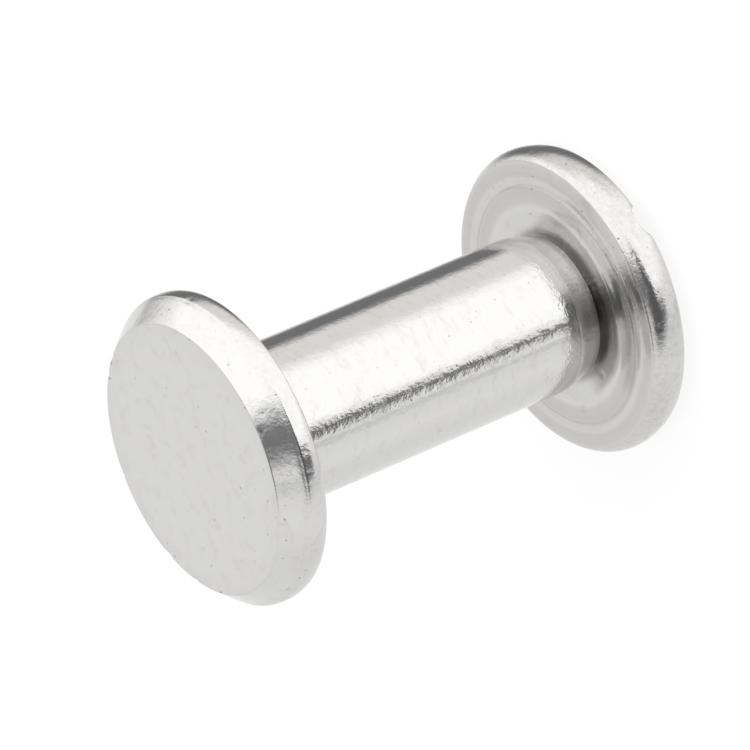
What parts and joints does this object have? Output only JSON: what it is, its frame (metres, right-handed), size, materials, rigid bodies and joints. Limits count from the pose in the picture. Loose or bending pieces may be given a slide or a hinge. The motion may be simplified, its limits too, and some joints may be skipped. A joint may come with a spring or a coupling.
{
  "type": "chicago screw",
  "caption": "Two-piece binding screw: a flat-headed smooth barrel with a blind threaded bore, closed by a slotted flat-headed screw.",
  "frame": {"origin": "centre of the slotted face that the closed fastener stands on", "axes": "+Z along the common axis, from the slotted screw head to the plain barrel head; +Y along the driver slot"},
  "size_m": [0.0098, 0.0098, 0.0153],
  "materials": {
    "barrel_metal": "bright nickel-like steel, tumbled, with fine pits and light scuffs",
    "screw_metal": "bright nickel-like steel, turned, with a faintly rough rim"
  },
  "bodies": {
    "screw": {"screw": "screw_metal"},
    "barrel": {"barrel": "barrel_metal"}
  },
  "joints": [
    {"name": "barrel_unscrew", "type": "slide", "parent": "screw", "child": "barrel", "axis": [0, 0, 1], "range_m": [0, 0.0084]}
  ]
}
